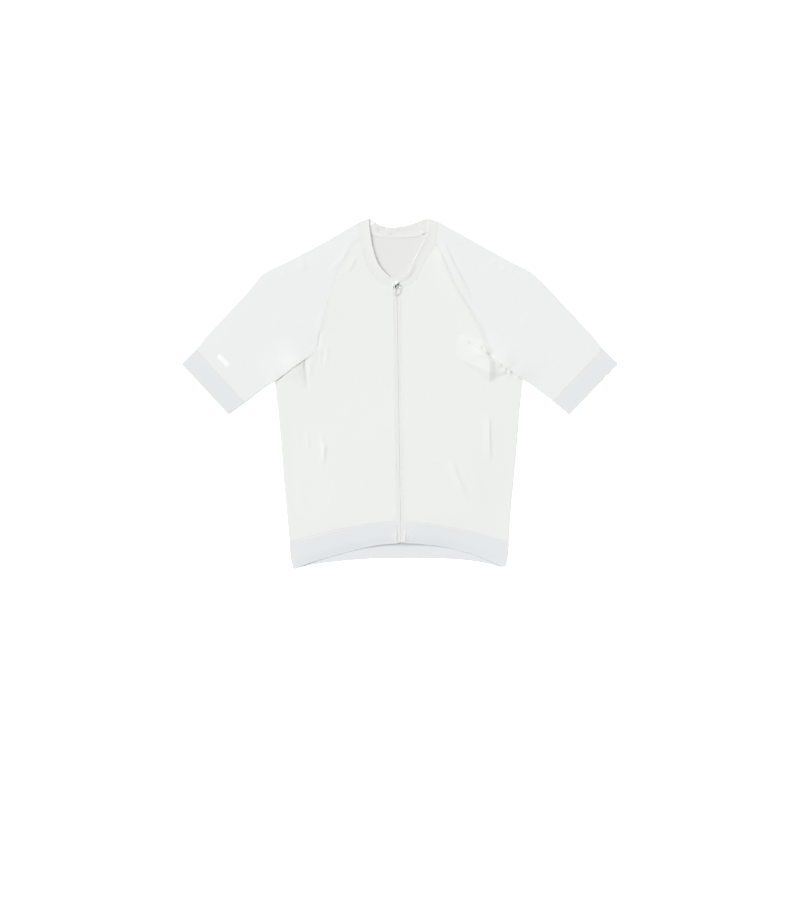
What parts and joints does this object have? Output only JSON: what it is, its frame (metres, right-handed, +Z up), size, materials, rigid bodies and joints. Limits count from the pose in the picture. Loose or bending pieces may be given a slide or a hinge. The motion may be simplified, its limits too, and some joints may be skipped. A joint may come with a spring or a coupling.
{
  "type": "cycling jersey laid flat",
  "caption": "Short-sleeved full-zip raglan cycling jersey, laid flat with its front up, with a low band collar, hem and sleeve bands, a wide rear pocket and a swinging zip pull.",
  "frame": {"origin": "centre of the outline on the surface that the garment lies on", "axes": "+Z up out of the front, +Y towards the neck, +X towards the wearer's left sleeve"},
  "size_m": [0.8518, 0.6835, 0.0076],
  "materials": {
    "body_cloth": "fine matt off-white knit",
    "sleeve_cloth": "fine matt off-white knit, slightly cooler",
    "band_cloth": "pale grey elastic band",
    "collar_cloth": "soft off-white collar knit",
    "zip_tape": "close-woven tape",
    "zip_plastic": "satin moulded coil",
    "slider_metal": "pale satin lacquer"
  },
  "bodies": {
    "garment": {"front_left": "body_cloth", "front_right": "body_cloth", "back": "body_cloth", "rear_pocket": "body_cloth", "sleeve_left": "sleeve_cloth", "sleeve_right": "sleeve_cloth", "cuff_left": "band_cloth", "cuff_right": "band_cloth", "collar": "collar_cloth", "zip_garage": "collar_cloth", "hem_band": "band_cloth", "zip_tape_left": "zip_tape", "zip_tape_right": "zip_tape", "zip_chain": "zip_plastic", "zip_box": "zip_plastic", "slider": "slider_metal"},
    "zip_pull": {"pull": "slider_metal"}
  },
  "joints": [
    {"name": "pull_swing", "type": "hinge", "parent": "garment", "child": "zip_pull", "pos_m": [-0.0054, 0.21025, 0.00591], "axis": [-1, 0, 0], "range_deg": [0, 130]}
  ]
}
